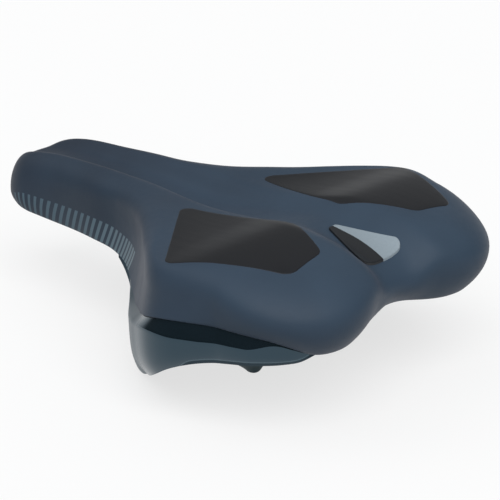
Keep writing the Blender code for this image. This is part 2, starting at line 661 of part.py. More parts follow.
# Rails, dampers and their fastenings, one set a side.
for word, side in (("left", 1), ("right", -1)):
    socket_y = RAIL_NOSE_HALF_SPACING * side
    rail_y = RAIL_HALF_SPACING * side
    rail_front = PIVOT_X - YOKE_BACK + YOKE_SOCKET - GAP
    socket = rod(
        "rail_socket_" + word, RAIL_RADIUS + HOLE_PLAY,
        (PIVOT_X - 2 * YOKE_BACK, socket_y, PIVOT_Z),
        (PIVOT_X - YOKE_BACK + YOKE_SOCKET, socket_y, PIVOT_Z), None, axis="X",
    )
    cut(yoke, socket)
    rail_back = DAMPER_X - BRIDGE_HALF_LENGTH - RAIL_END
    tunnel = rod(
        "rail_tunnel_" + word, RAIL_RADIUS + HOLE_PLAY,
        (DAMPER_X - 3 * BRIDGE_HALF_LENGTH, rail_y, rail_rise),
        (DAMPER_X + 3 * BRIDGE_HALF_LENGTH, rail_y, rail_rise), None, axis="X",
    )
    cut(bridge, tunnel)
    path = bpy.data.curves.new("rail_" + word, "CURVE")
    path.dimensions = "3D"
    path.bevel_depth = RAIL_RADIUS
    path.bevel_resolution = 3
    path.resolution_u = 6
    path.use_fill_caps = True
    line = path.splines.new("BEZIER")
    stops = (
        (rail_front, socket_y, PIVOT_Z, END_PULL),
        (PIVOT_X - YOKE_BACK - RAIL_LEAD, socket_y, PIVOT_Z, END_PULL),
        (CLAMP_FRONT, rail_y, 0, FRONT_PULL),
        (CLAMP_BACK, rail_y, 0, BACK_PULL),
        (DAMPER_X + BRIDGE_HALF_LENGTH + RAIL_LEAD, rail_y, rail_rise, BACK_PULL),
        (rail_back, rail_y, rail_rise, END_PULL),
    )
    line.bezier_points.add(len(stops) - 1)
    for stop, (x, y, z, pull) in zip(line.bezier_points, stops):
        stop.co = (x, y, z)
        stop.handle_left_type = "FREE"
        stop.handle_right_type = "FREE"
        stop.handle_left = (x + pull, y, z)
        stop.handle_right = (x - pull, y, z)
    rail = bpy.data.objects.new("rail_" + word, path)
    bpy.context.scene.collection.objects.link(rail)
    path.materials.append(material("rail_" + word, *STEEL))

    damper_y = DAMPER_Y * side
    tall = cup_low - GAP - (bridge_top + GAP)
    profile = (
        (0, 0), (DAMPER_RADIUS, 0), (DAMPER_RADIUS, 0.2 * tall), (DAMPER_WAIST, 0.5 * tall),
        (DAMPER_RADIUS, 0.8 * tall), (DAMPER_RADIUS, tall), (0, tall),
    )
    lathe("damper_" + word, profile, (DAMPER_X, damper_y, bridge_top + GAP), RUBBER)

    head_seat = bridge_top - BOLT_HEAD - GAP
    sink = rod(
        "bolt_sink_" + word, BOLT_HEAD_RADIUS + HOLE_PLAY,
        (DAMPER_X, damper_y, head_seat), (DAMPER_X, damper_y, bridge_top + BOLT_HEAD), None,
    )
    cut(bridge, sink)
    shaft = rod(
        "bolt_way_" + word, BOLT_RADIUS + HOLE_PLAY,
        (DAMPER_X, damper_y, BRIDGE_BOTTOM - BOLT_DEPTH - 2 * GAP),
        (DAMPER_X, damper_y, bridge_top + BOLT_HEAD), None,
    )
    cut(bridge, shaft)
    foot_top = BRIDGE_BOTTOM - GAP
    profile = (
        (0, -FOOT_HEIGHT), (FOOT_TIP_RADIUS, -FOOT_HEIGHT), (FOOT_TOP_RADIUS, -0.3 * FOOT_HEIGHT),
        (FOOT_TOP_RADIUS, 0), (0, 0),
    )
    foot = lathe("foot_" + word, profile, (DAMPER_X, damper_y, foot_top), PLASTIC)
    cut(foot, shaft)
    shank = bridge_top - BOLT_HEAD - GAP + GAP / 2
    reach = shank - (BRIDGE_BOTTOM - BOLT_DEPTH)
    profile = (
        (0, -reach), (BOLT_RADIUS, -reach), (BOLT_RADIUS, 0), (BOLT_HEAD_RADIUS, 0),
        (BOLT_HEAD_RADIUS, BOLT_HEAD - GAP), (0, BOLT_HEAD - GAP),
    )
    lathe("foot_bolt_" + word, profile, (DAMPER_X, damper_y, shank), STEEL, 16)

for piece in seat:
    piece.parent = pivot
    piece.matrix_parent_inverse = pivot.matrix_world.inverted()
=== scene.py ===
"""Looks of a padded bicycle saddle.

Moulded cover, gel inserts, gloss side fairings, round rails, rubber dampers and pointed feet.
Metres, +X towards the nose, +Y to the rider's left, +Z up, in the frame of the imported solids.
A station is a distance behind the nose tip, an offset is a distance from the middle plane.
Tables are (station, value) pairs unless a comment says otherwise.
"""

import math

import bmesh
import bpy
import numpy as np
from mathutils import Matrix, Vector


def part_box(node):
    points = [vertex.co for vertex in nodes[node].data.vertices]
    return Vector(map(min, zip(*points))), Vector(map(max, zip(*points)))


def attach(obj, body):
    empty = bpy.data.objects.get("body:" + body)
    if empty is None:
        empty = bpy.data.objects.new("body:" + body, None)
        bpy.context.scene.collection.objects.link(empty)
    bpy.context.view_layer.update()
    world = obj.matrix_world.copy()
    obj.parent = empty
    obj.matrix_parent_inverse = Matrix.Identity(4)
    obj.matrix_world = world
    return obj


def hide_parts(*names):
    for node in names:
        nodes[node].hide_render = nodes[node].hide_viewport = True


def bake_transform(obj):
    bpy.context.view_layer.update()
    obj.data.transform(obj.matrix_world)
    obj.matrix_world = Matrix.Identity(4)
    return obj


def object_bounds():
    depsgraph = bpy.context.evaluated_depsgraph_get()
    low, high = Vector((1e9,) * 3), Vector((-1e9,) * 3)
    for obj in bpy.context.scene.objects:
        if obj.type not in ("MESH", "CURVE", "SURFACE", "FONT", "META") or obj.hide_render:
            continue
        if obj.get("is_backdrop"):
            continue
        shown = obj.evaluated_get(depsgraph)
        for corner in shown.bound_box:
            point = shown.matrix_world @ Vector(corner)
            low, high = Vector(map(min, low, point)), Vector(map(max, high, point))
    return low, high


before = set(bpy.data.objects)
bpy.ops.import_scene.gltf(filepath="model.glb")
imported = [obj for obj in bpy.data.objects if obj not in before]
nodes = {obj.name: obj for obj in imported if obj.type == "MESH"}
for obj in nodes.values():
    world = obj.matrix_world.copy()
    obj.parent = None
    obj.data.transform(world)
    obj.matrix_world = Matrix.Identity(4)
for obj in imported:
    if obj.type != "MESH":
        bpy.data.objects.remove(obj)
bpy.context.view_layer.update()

# Plan outline of the cushion.
NOSE_X = 0.135
LENGTH = 0.2686
NOSE_ROUND = 0.0235
NOSE_POWER = 0.9
TAIL_START = 0.209
TAIL_POWER = 2.2
NOTCH_DEPTH = 0.0234
NOTCH_SPREAD = 0.0348
HALF_WIDTHS = (
    (0.0, 0.0266), (0.050, 0.0243), (0.075, 0.0265), (0.095, 0.0281), (0.112, 0.0342),
    (0.130, 0.0473), (0.150, 0.0657), (0.175, 0.0869), (TAIL_START, 0.0834),
)
NOSE_STEPS = 200
SIDE_STEPS = 900
TAIL_STEPS = 600
EDGE_STEPS = 700

# Heights of the cushion.
CREST = (
    (0.0, 0.0541), (0.030, 0.0602), (0.060, 0.0610), (0.100, 0.0608), (0.150, 0.0584),
    (0.175, 0.0600), (0.200, 0.0635), (0.220, 0.0624), (0.240, 0.0590), (LENGTH, 0.0532),
)
FALL = (
    (0.0, 0.0069), (0.040, 0.0015), (0.090, -0.0019), (0.130, -0.0042),
    (0.170, 0.0017), (0.210, 0.0053), (LENGTH, 0.0133),
)
FALL_POWER = 3.0
FALL_LIMIT = 1.2
CHANNEL_DEPTH = (
    (0.0, 0.0008), (0.020, 0.0046), (0.060, 0.0056), (0.120, 0.0086),
    (0.180, 0.0050), (0.230, 0.0086), (LENGTH, 0.0090),
)
CHANNEL_WIDTH = (
    (0.0, 0.0104), (0.020, 0.0108), (0.060, 0.0107), (0.120, 0.0127),
    (0.180, 0.0154), (0.230, 0.0180), (LENGTH, 0.0176),
)
CHANNEL_POWER = 4.0
SHOULDER_RUN = (
    (0.0, 0.0131), (0.050, 0.0137), (0.090, 0.0168), (0.115, 0.0176), (0.135, 0.0136),
    (0.160, 0.0050), (0.185, 0.0060), (0.210, 0.0136), (0.235, 0.0264), (LENGTH, 0.0334),
)
SHOULDER_DROP = (
    (0.0, 0.0172), (0.050, 0.0152), (0.090, 0.0138), (0.115, 0.0135), (0.135, 0.0114),
    (0.160, 0.0096), (0.185, 0.0109), (0.210, 0.0105), (0.235, 0.0115), (LENGTH, 0.0150),
)
SHOULDER_POWER = 2.2
HEM = (
    (0.0, 0.0300), (0.040, 0.0263), (0.090, 0.0264), (0.115, 0.0249), (0.135, 0.0205),
    (0.160, 0.0269), (0.180, 0.0337), (0.200, 0.0344), (0.215, 0.0338), (0.225, 0.0326),
    (0.235, 0.0305), (0.2444, 0.0266), (0.2493, 0.0238), (LENGTH, 0.0213),
)
TUCK = ((0.0, 0.0035), (0.060, 0.0018), (0.120, -0.0050), (0.180, -0.0011), (LENGTH, 0.0118))

# Cover mesh. The bed is its underside over the shell, placed at shares of the way out from the spine.
SPINE_FRONT = 0.026
SPINE_BACK = 0.208
HALF_COLUMNS = 300
RINGS = 72
RING_POWER = 1.5
FLANK_ROWS = 14
ROLL_ROWS = 6
COVER_THICK = 0.0015
BED_GAP = 0.0006
BED_LEVEL = 0.86
BED_SLOPE = (0.74, 0.4, 0.0)
SHELL_THICK = 0.003
SHELL_NOSE_Z = 0.037
SHELL_WING_Z = 0.028
SHELL_STEP_FRONT = 0.075
SHELL_STEP_BACK = 0.100

# Printed bars on the nose flank, as (length along the hem, value) pairs.
BAR_PITCH = (
    (0.030, 0.0028), (0.044, 0.0036), (0.058, 0.0048), (0.085, 0.0052),
    (0.105, 0.0044), (0.120, 0.0038), (0.136, 0.0042),
)
BAR_LEAN = ((0.030, 0.0), (0.045, 0.2), (0.060, 0.44), (0.100, 0.44), (0.136, 0.35))
BAR_HEIGHT = (
    (0.026, 0.0100), (0.045, 0.0118), (0.060, 0.0122), (0.100, 0.0112), (0.114, 0.0106), (0.136, 0.0115),
)
BAR_SHARE = ((0.030, 0.36), (0.060, 0.46), (0.100, 0.50), (0.120, 0.60), (0.136, 0.72))
BAR_START = 0.0300
BAR_END = 0.1350
BAR_SAMPLES = 400
BAR_ROLL_ROWS = 3
BAR_SIDE_CRISP = 16.0
BAR_TOP_CRISP = 25.0
BAR_FADE_POWER = 3.0
NO_BAR = 4.0

# Gel inserts and tail label, as plan corners with a rounding each.
PAD_CORNERS = (
    (0.1367, 0.0267, 0.0045), (0.1975, 0.0166, 0.009), (0.2292, 0.0340, 0.007),
    (0.2318, 0.0580, 0.008), (0.1814, 0.0848, 0.0055),
)
PAD_PROUD = 0.0002
PAD_EDGE = 0.0006
PAD_DEPTH = 0.0012
BADGE_CORNERS = (
    (0.2065, 0.0025, 0.0012), (0.2065, -0.0025, 0.0012),
    (0.2365, -0.0164, 0.0035), (0.2365, 0.0164, 0.0035),
)
BADGE_PROUD = 0.0013
BADGE_EDGE = 0.0004
BADGE_DEPTH = 0.0010
CORNER_STEPS = 24
INLAY_COLUMNS = 220
INLAY_FLAT_ROWS = 21
INLAY_EDGE_ROWS = 8
INLAY_UNDER_STEP = 4

# Side fairings: a leaning band under the hem, a nearly upright wall and a curl at the bottom.
FAIRING_FRONT = 0.097
FAIRING_BACK = 0.2535
FAIRING_INSET = 0.001
FAIRING_THICK = 0.0022
FAIRING_FLANGE = 0.0095
FAIRING_BOTTOM = (
    (FAIRING_FRONT, 0.0245), (0.104, 0.0218), (0.111, 0.0186), (0.117, 0.0155), (0.123, 0.0080),
    (0.129, -0.0020), (0.135, -0.0090), (0.141, -0.0120), (0.147, -0.0118), (0.153, -0.0085),
    (0.160, -0.0045), (0.168, 0.0), (0.176, 0.0048), (0.185, 0.0101), (0.196, 0.0143),
    (0.210, 0.0173), (0.225, 0.0184), (0.240, 0.0185), (0.248, 0.0194), (FAIRING_BACK, 0.0222),
)
FAIRING_LEAST = 0.0006
FAIRING_ROWS = 90
HEM_GAP = 0.0003
WING_FROM = 0.025
TIP_INSET = 0.0022
TIP_RUN = 0.012
BAND_TALL = (
    (FAIRING_FRONT, 0.0006), (0.116, 0.0008), (0.120, 0.0012), (0.128, 0.0026), (0.138, 0.0034),
    (0.150, 0.0040), (0.160, 0.0043), (0.168, 0.0043), (0.175, 0.0050), (0.182, 0.0066),
    (0.188, 0.0078), (0.215, 0.0076), (0.224, 0.0062), (0.231, 0.0034), (0.237, 0.0006),
    (FAIRING_BACK, 0.0003),
)
BAND_SLOPE = (
    (0.116, 0.10), (0.120, 0.30), (0.128, 0.80), (0.138, 1.10), (0.150, 1.25), (0.160, 1.15),
    (0.168, 0.90), (0.176, 0.58), (0.182, 0.42), (0.192, 0.33), (0.210, 0.36), (FAIRING_BACK, 0.30),
)
BAND_EASE = 0.004
BAND_FADE = (0.8, 1.2)
BAND_LIMIT = 0.42
WALL_SLOPE = -0.02
WALL_LIMIT = 0.4
WALL_RISE = 1.4
CURL = (
    (0.124, 0.0), (0.135, 0.0008), (0.141, 0.0023), (0.147, 0.0056), (0.155, 0.0076),
    (0.165, 0.0058), (0.180, 0.0034), (0.200, 0.0025), (FAIRING_BACK, 0.0025),
)
CURL_POWER = 5
CURL_LIMIT = 0.3
FAIRING_CREASE = 40.0

# Lip of the fairing: a point value in lip heights above the bottom edge, dull below 1.
LIP_TALL = 0.0019
LIP_FROM = (0.184, 0.197)
LIP_LIFT = 3
LIP_NONE = 9
LIP_DULL = 0.5
DULL_FRONT = 0.1175

# Rails, dampers and feet. A rail stop is a point and the pull of its handles along X.
RAIL_RADIUS = 0.0035
RAIL_STOPS = (
    (0.0687, 0.008, 0.0285, 0.004), (0.054, 0.008, 0.0285, 0.004), (0.024, 0.022, 0.0, 0.012),
    (-0.020, 0.022, 0.0, 0.009), (-0.041, 0.022, 0.007, 0.009), (-0.062, 0.022, 0.007, 0.004),
)
RAIL_STEPS = 24
RAIL_END = 0.12
DAMPER_X = -0.051
DAMPER_Y = 0.032
DAMPER_RADIUS = 0.0085
DAMPER_WAIST = 0.007
DAMPER_ROUND = 0.0008
DAMPER_ROUND_SHARE = 0.07
DAMPER_ROWS = 30
FOOT_TIP = 0.0027
FOOT_TOP = 0.008
FOOT_CONE = 0.7
FOOT_REACH = 0.65
FOOT_ROUND = 0.0005
FOOT_ROUND_SHARE = 0.08
FOOT_ROWS = 40

# Colours.
COVER_BLUE = (0.0345, 0.0605, 0.0930)
# Deep blue for the random change in tone and for the painted shade at the nose.
COVER_DEEP_AND_NOSE_SHADE = (0.0160, 0.0265, 0.0410)
COVER_PLUM = (0.0350, 0.0470, 0.0750)
COVER_SHEEN = (0.95, 0.82, 0.84)
BAR_GREY = (0.0840, 0.1380, 0.1800)
BAR_PALE = (0.1700, 0.2300, 0.2650)
GEL_BLACK = (0.006, 0.0062, 0.0078)
GEL_DEEP = (0.0045, 0.0047, 0.0060)
GEL_PALE = (0.0085, 0.0088, 0.0108)
GEL_SHINE = (0.88, 0.92, 1.0)
GLOSS_BLACK = (0.005, 0.007, 0.009)
GLOSS_DEEP = (0.0030, 0.0060, 0.0085)
GLOSS_PALE = (0.0050, 0.0095, 0.0130)
GLOSS_SHINE = (0.50, 0.78, 1.0)
SATIN_DEEP = (0.006, 0.016, 0.024)
SATIN_PALE = (0.014, 0.030, 0.042)
# Painted highlight for the line along the fairing's rounded lower edge.
LIP_PAINTED_HIGHLIGHT = (0.060, 0.085, 0.100)
SHELL_BLACK = (0.020, 0.020, 0.022)
FOOT_TEAL = (0.004, 0.026, 0.034)
FOOT_SHINE = (0.35, 0.75, 0.90)
RAIL_GREY = (0.42, 0.42, 0.43)
SCREW_GREY = (0.10, 0.10, 0.105)
RUBBER_GREY = (0.022, 0.022, 0.023)
RUBBER_DEEP = (0.016, 0.016, 0.017)
RUBBER_BLOOM = (0.034, 0.034, 0.035)
LABEL_GREY = (0.22, 0.27, 0.31)
LABEL_PALE = ((0.235, 0.285, 0.325), (0.270, 0.325, 0.365))
LABEL_DARK = ((0.010, 0.011, 0.013), (0.016, 0.018, 0.021))

# Where finishes change along X, as X or (X, X), and how sharp or strong the change is.
# The cover's painted shade: it deepens from the X below towards the nose, with what it adds to the tone at
# either end.
NOSE_SHADE_END_X = -0.030
NOSE_SHADE_DRIFT = (-0.35, 0.40)
SATIN_X = (-0.042, -0.020)
SATIN_ROUGH = 0.34
LIP_ROUGH = 0.75
# Height in lip heights and narrowness of the painted highlight line on the fairing.
HIGHLIGHT_LINE_HEIGHT = 1.2
HIGHLIGHT_LINE_CRISP = 4.0
LABEL_CRISP = 6000.0

# Stage, light and camera.
FLOOR_Z = -0.0164
FLOOR_HALF = 40.0
FLOOR_WHITE = 0.70
FLOOR_GREY = (0.40, 0.40, 0.40)
PAPER = (0.93, 0.93, 0.93)
PAPER_DEEP = (0.925, 0.925, 0.925)
PAPER_PALE = (0.935, 0.935, 0.935)
ROOM_WHITE = (0.96, 0.985, 1.0)
ROOM_RISE = (0.05, 0.95)
HORIZON_LEVEL = 0.08
ZENITH_LEVEL = 0.55
BACKDROP_SIDE = (0.35, 0.85)
BACKDROP_TOP = (0.06, 0.24)
BACKDROP_LEVEL = 0.80
KEY_FROM = (-0.55, 0.45, 0.70)
KEY_LEVEL = 0.76
KEY_SPREAD = 60.0
SIDE_FROM = (0.64, 0.33, 0.67)
SIDE_LEVEL = 0.10
SIDE_SPREAD = 40.0
TARGET = Vector((0.0, 0.0, 0.041))
BACK = Vector((-0.6388, 0.6850, 0.3502))
DISTANCE = 0.966
ROLL = math.radians(-1.1)
LENS = 144.0
SHIFT_X = 0.065
SHIFT_Y = -0.050
CLIP_START = 0.01

# Meshes.
MERGE_DISTANCE = 2e-6
EASE_SAMPLES = 15


def through(stations, at):
    """A smooth curve through (station, value) pairs.

    Cubic Hermite pieces, with slopes from the neighbouring stations.
    """
    xs, ys = np.array(stations).T
    slope = np.gradient(ys, xs)
    at = np.clip(at, xs[0], xs[-1])
    i = np.clip(np.searchsorted(xs, at, side="right") - 1, 0, len(xs) - 2)
    step = xs[i + 1] - xs[i]
    t = (at - xs[i]) / step
    start = (2 * t**3 - 3 * t**2 + 1) * ys[i] + (t**3 - 2 * t**2 + t) * step * slope[i]
    return start + (3 * t**2 - 2 * t**3) * ys[i + 1] + (t**3 - t**2) * step * slope[i + 1]


def straight(stations, at):
    """Straight lines through (station, value) pairs, level beyond the ends."""
    return np.interp(at, *np.array(stations).T)


def eased(stations, at, reach):
    """The straight lines averaged over reach to either side, which rounds their corners without overshoot."""
    shifts = np.linspace(-reach, reach, EASE_SAMPLES)
    return np.mean([straight(stations, at + shift) for shift in shifts], 0)


def smooth_step(low, high, at):
    """0 below low, 1 above high, and a cubic ease between them."""
    t = np.clip((at - low) / (high - low), 0, 1)
    return t * t * (3 - 2 * t)


def running(a, n):
    """Length along a line of plan points, from its first one."""
    return np.concatenate([[0], np.cumsum(np.hypot(np.diff(a), np.diff(n)))])


def half_outline(count):
    """Left half of the plan outline as count evenly spaced stations and offsets.

    A nose arc on the half widths, the flared side, and a superellipse tail with a bell-shaped notch.
    """
    f = np.linspace(0, math.pi / 2, NOSE_STEPS)
    nose = NOSE_ROUND * (1 - np.cos(f))
    nose_n = through(HALF_WIDTHS, nose) * np.sin(f) ** NOSE_POWER
    side = np.linspace(NOSE_ROUND, TAIL_START, SIDE_STEPS)[1:]
    side_n = through(HALF_WIDTHS, side)
    g = np.linspace(0, math.pi / 2, TAIL_STEPS)[1:]
    tail_n = side_n[-1] * np.clip(np.cos(g), 0, 1) ** (2 / TAIL_POWER)
    tail = TAIL_START + (LENGTH - TAIL_START) * np.sin(g) ** (2 / TAIL_POWER)
    tail = tail - NOTCH_DEPTH * np.exp(-((tail_n / NOTCH_SPREAD) ** 2))
    a = np.concatenate([nose, side, tail])
    n = np.concatenate([nose_n, side_n, tail_n])
    n[0] = 0
    n[-1] = 0
    run = running(a, n)
    even = np.linspace(0, run[-1], count)
    return np.interp(even, run, a), np.interp(even, run, n)


def around(half):
    """A half loop of values joined to its mirror image, nose to tail on the left and back on the right."""
    return np.concatenate([half, half[-2:0:-1]])


def outward(a, n):
    """Unit vectors square to a closed loop of plan points, pointing away from it."""
    ta = np.roll(a, -1) - np.roll(a, 1)
    tn = np.roll(n, -1) - np.roll(n, 1)
    size = np.hypot(ta, tn)
    return -tn / size, ta / size


EDGE_A, EDGE_N = half_outline(EDGE_STEPS)
HALF_A, HALF_N = half_outline(HALF_COLUMNS + 1)
LOOP_A = around(HALF_A)
LOOP_N = np.concatenate([HALF_N, -HALF_N[-2:0:-1]])
OUT_A, OUT_N = outward(LOOP_A, LOOP_N)
LOOP_RUN = around(running(HALF_A, HALF_N))


def to_edge(a, n):
    """Distance from plan points to the outline and the station of the nearest outline point.

    Every point is dropped on every chord of the half outline and the nearest foot is kept.
    """
    flat_a = np.ravel(a)[:, None]
    flat_n = np.abs(np.ravel(n))[:, None]
    da = np.diff(EDGE_A)
    dn = np.diff(EDGE_N)
    t = ((flat_a - EDGE_A[:-1]) * da + (flat_n - EDGE_N[:-1]) * dn) / (da * da + dn * dn)
    t = np.clip(t, 0, 1)
    away = np.hypot(flat_a - EDGE_A[:-1] - t * da, flat_n - EDGE_N[:-1] - t * dn)
    near = away.argmin(1)
    row = np.arange(len(near))
    station = EDGE_A[near] + t[row, near] * da[near]
    return away[row, near].reshape(np.shape(a)), station.reshape(np.shape(a))


def height(a, n):
    """Height of the cushion's top: crest, less an outward fall, a centre channel and a rounded shoulder.

    The fall is a power of offset over half width, the channel a bell across the middle,
    the shoulder a superellipse quarter over the distance to the outline.
    """
    a = np.asarray(a, float)
    n = np.abs(np.asarray(n, float))
    wide = through(HALF_WIDTHS, np.clip(a, NOSE_ROUND, TAIL_START))
    z = through(CREST, a) - through(FALL, a) * np.clip(n / wide, 0, FALL_LIMIT) ** FALL_POWER
    z = z - through(CHANNEL_DEPTH, a) * np.exp(-((n / through(CHANNEL_WIDTH, a)) ** CHANNEL_POWER))
    away, station = to_edge(a, n)
    k = np.clip(1 - away / through(SHOULDER_RUN, station), 0, 1)
    round_off = 1 - (1 - k**SHOULDER_POWER) ** (1 / SHOULDER_POWER)
    return z - through(SHOULDER_DROP, station) * round_off


def shell_centre(a):
    """Height of the shell's underside along its middle, which eases down behind the nose."""
    return SHELL_NOSE_Z + (SHELL_WING_Z - SHELL_NOSE_Z) * smooth_step(SHELL_STEP_FRONT, SHELL_STEP_BACK, a)


def place(a, n, z):
    """Stations, offsets and heights as points of the part's frame."""
    return np.stack(np.broadcast_arrays(NOSE_X - np.asarray(a), n, z), -1)


def grid_mesh(name, rows, round_it=True, attributes=(), close_ends=False, crease=60.0):
    """An object from a grid of points.

    Neighbouring rows are joined by quads, and each row runs round if round_it.
    Points that fall together are merged, which closes the poles.
    Edges bent by more than crease degrees stay sharp.
    """
    count, width = rows.shape[:2]
    i, j = np.meshgrid(np.arange(count - 1), np.arange(width if round_it else width - 1), indexing="ij")
    k = (j + 1) % width
    faces = np.stack([i * width + j, (i + 1) * width + j, (i + 1) * width + k, i * width + k], -1)
    faces = faces.reshape(-1, 4).tolist()
    if close_ends:
        faces.append(list(range(width)))
        faces.append(list(range((count - 1) * width, count * width))[::-1])
    data = bpy.data.meshes.new(name)
    data.from_pydata(rows.reshape(-1, 3).tolist(), [], faces)
    for label, values in attributes:
        layer = data.attributes.new(label, "FLOAT", "POINT")
        layer.data.foreach_set("value", np.ravel(values).astype(np.float32))
    made = bpy.data.objects.new(name, data)
    bpy.context.scene.collection.objects.link(made)
    tidy(made, crease)
    return made


def tidy(made, crease):
    """Merges points that fall together, turns faces outwards and shades smooth up to the crease angle."""
    mesh = bmesh.new()
    mesh.from_mesh(made.data)
    bmesh.ops.remove_doubles(mesh, verts=mesh.verts, dist=MERGE_DISTANCE)
    bmesh.ops.recalc_face_normals(mesh, faces=mesh.faces)
    mesh.to_mesh(made.data)
    mesh.free()
    made.data.shade_smooth()
    made.data.set_sharp_from_angle(angle=math.radians(crease))


# Materials.


def surface(name, colour, roughness, **sockets):
    """A node material whose shader holds the constant numbers; returns it with its tree and shader."""
    made = bpy.data.materials.new(name)
    made.use_nodes = True
    tree = made.node_tree
    shader = tree.nodes["Principled BSDF"]
    shader.inputs["Base Color"].default_value = (*colour, 1.0)
    shader.inputs["Roughness"].default_value = roughness
    for socket, value in sockets.items():
        shader.inputs[socket.replace("_", " ")].default_value = value
    return made, tree, shader


def add(tree, kind, **settings):
    """A new node of a kind, with its settings."""
    made = tree.nodes.new(kind)
    for label, value in settings.items():
        setattr(made, label, value)
    return made


def sums(tree, operation, first, second=None, third=None):
    """A Math node on numbers or sockets; returns its output."""
    made = add(tree, "ShaderNodeMath", operation=operation)
    for index, value in enumerate((first, second, third)):
        if value is None:
            continue
        if isinstance(value, (int, float)):
            made.inputs[index].default_value = value
        else:
            tree.links.new(value, made.inputs[index])
    return made.outputs[0]


def limited(tree, value):
    """A socket cut off below 0 and above 1."""
    return sums(tree, "MAXIMUM", sums(tree, "MINIMUM", value, 1.0), 0.0)


def from_object(tree, stretch=(1, 1, 1), turn=(0, 0, 0)):
    """Object coordinates, stretched and turned by a Mapping node."""
    where = add(tree, "ShaderNodeTexCoord")
    mapping = add(tree, "ShaderNodeMapping")
    mapping.inputs["Scale"].default_value = stretch
    mapping.inputs["Rotation"].default_value = turn
    tree.links.new(where.outputs["Object"], mapping.inputs["Vector"])
    return mapping.outputs["Vector"]


def axes(tree, where):
    """The X, Y and Z of a vector socket."""
    made = add(tree, "ShaderNodeSeparateXYZ")
    tree.links.new(where, made.inputs[0])
    return made.outputs


def noise(tree, where, scale, detail=3.0, rough=0.5):
    """A noise between 0 and 1, with scale cells to the metre."""
    made = add(tree, "ShaderNodeTexNoise")
    made.inputs["Scale"].default_value = scale
    made.inputs["Detail"].default_value = detail
    made.inputs["Roughness"].default_value = rough
    tree.links.new(where, made.inputs["Vector"])
    return made.outputs["Fac"]


def spread_between(tree, value, low, high):
    """A 0 to 1 socket carried to the range low to high."""
    made = add(tree, "ShaderNodeMapRange")
    made.inputs["To Min"].default_value = low
    made.inputs["To Max"].default_value = high
    tree.links.new(value, made.inputs["Value"])
    return made.outputs["Result"]


def ramp(tree, value, start, stop, low=0.0, high=1.0):
    """A smooth step of a socket: low at start, high at stop, level beyond them."""
    made = add(tree, "ShaderNodeMapRange", interpolation_type="SMOOTHSTEP")
    made.inputs["From Min"].default_value = start
    made.inputs["From Max"].default_value = stop
    made.inputs["To Min"].default_value = low
    made.inputs["To Max"].default_value = high
    tree.links.new(value, made.inputs["Value"])
    return made.outputs["Result"]


def blend_colours(tree, share, first, second):
    """A Mix node between two colours, each a tuple or a socket."""
    made = add(tree, "ShaderNodeMix", data_type="RGBA")
    tree.links.new(share, made.inputs[0])
    for index, value in ((6, first), (7, second)):
        if isinstance(value, tuple):
            made.inputs[index].default_value = (*value, 1.0)
        else:
            tree.links.new(value, made.inputs[index])
    return made.outputs[2]


def relief(tree, shader, fac, strength, distance):
    """A bump from a height socket into the shader's normal."""
    made = add(tree, "ShaderNodeBump")
    made.inputs["Strength"].default_value = strength
    made.inputs["Distance"].default_value = distance
    tree.links.new(fac, made.inputs["Height"])
    tree.links.new(made.outputs["Normal"], shader.inputs["Normal"])


def attribute(tree, label):
    """A point value of the mesh."""
    made = add(tree, "ShaderNodeAttribute", attribute_name=label, attribute_type="GEOMETRY")
    return made.outputs["Fac"]


def bar_mask(tree, along):
    """1 on a printed bar and 0 beside it.

    A bar shows where the fraction of its count is near a half, the rise is under the bar height
    and the run is in range.
    """
    part = sums(tree, "FRACT", attribute(tree, "bar_count"))
    off = sums(tree, "ABSOLUTE", sums(tree, "SUBTRACT", part, 0.5))
    wide = sums(tree, "MULTIPLY", attribute(tree, "bar_share"), 0.5)
    bar = limited(tree, sums(tree, "MULTIPLY_ADD", sums(tree, "SUBTRACT", wide, off), BAR_SIDE_CRISP, 0.5))
    top = attribute(tree, "bar_top")
    under = limited(tree, sums(tree, "MULTIPLY_ADD", top, -BAR_TOP_CRISP, BAR_TOP_CRISP + 0.5))
    begun = sums(tree, "GREATER_THAN", along, 0.0)
    inside = sums(tree, "MULTIPLY", begun, sums(tree, "LESS_THAN", along, 1.0))
    return sums(tree, "MULTIPLY", sums(tree, "MULTIPLY", bar, under), inside)


def cover_material():
    """Matte moulded cover: slate blue with painted shade deepening towards the nose, a slow random change in
    tone and a fine pebble grain.

    Grey-blue bars, paler towards the back, are printed on the nose flank.
    """
    made, tree, shader = surface(
        "cover_skin", COVER_BLUE, roughness=0.55, Specular_IOR_Level=0.20,
        Sheen_Weight=0.05, Sheen_Roughness=0.35, Sheen_Tint=(*COVER_SHEEN, 1.0),
    )
    where = from_object(tree)
    # Painted shade: the base colour is pushed towards the deep blue near the nose and eased back towards the
    # wings.
    back = ramp(tree, axes(tree, where)["X"], NOSE_X, NOSE_SHADE_END_X, *NOSE_SHADE_DRIFT)
    tone_and_nose_shade = sums(tree, "ADD", noise(tree, where, scale=22.0, detail=2.0), back)
    base = blend_colours(tree, tone_and_nose_shade, COVER_DEEP_AND_NOSE_SHADE, COVER_BLUE)
    cast = sums(tree, "MULTIPLY", noise(tree, where, scale=9.0, detail=1.0), 0.5)
    base = blend_colours(tree, cast, base, COVER_PLUM)
    along = attribute(tree, "bar_along")
    mask = bar_mask(tree, along)
    fade = sums(tree, "POWER", sums(tree, "MAXIMUM", along, 0.0), BAR_FADE_POWER)
    bars = blend_colours(tree, fade, BAR_GREY, BAR_PALE)
    tree.links.new(blend_colours(tree, mask, base, bars), shader.inputs["Base Color"])
    pebble = add(tree, "ShaderNodeTexVoronoi", feature="SMOOTH_F1")
    pebble.inputs["Scale"].default_value = 1500.0
    tree.links.new(where, pebble.inputs["Vector"])
    fine = noise(tree, where, scale=900.0, detail=2.0)
    grain = sums(tree, "MULTIPLY_ADD", fine, 0.6, pebble.outputs["Distance"])
    relief(tree, shader, grain, strength=0.18, distance=0.00012)
    dull = spread_between(tree, noise(tree, where, scale=300.0), low=0.48, high=0.60)
    tree.links.new(dull, shader.inputs["Roughness"])
    return made


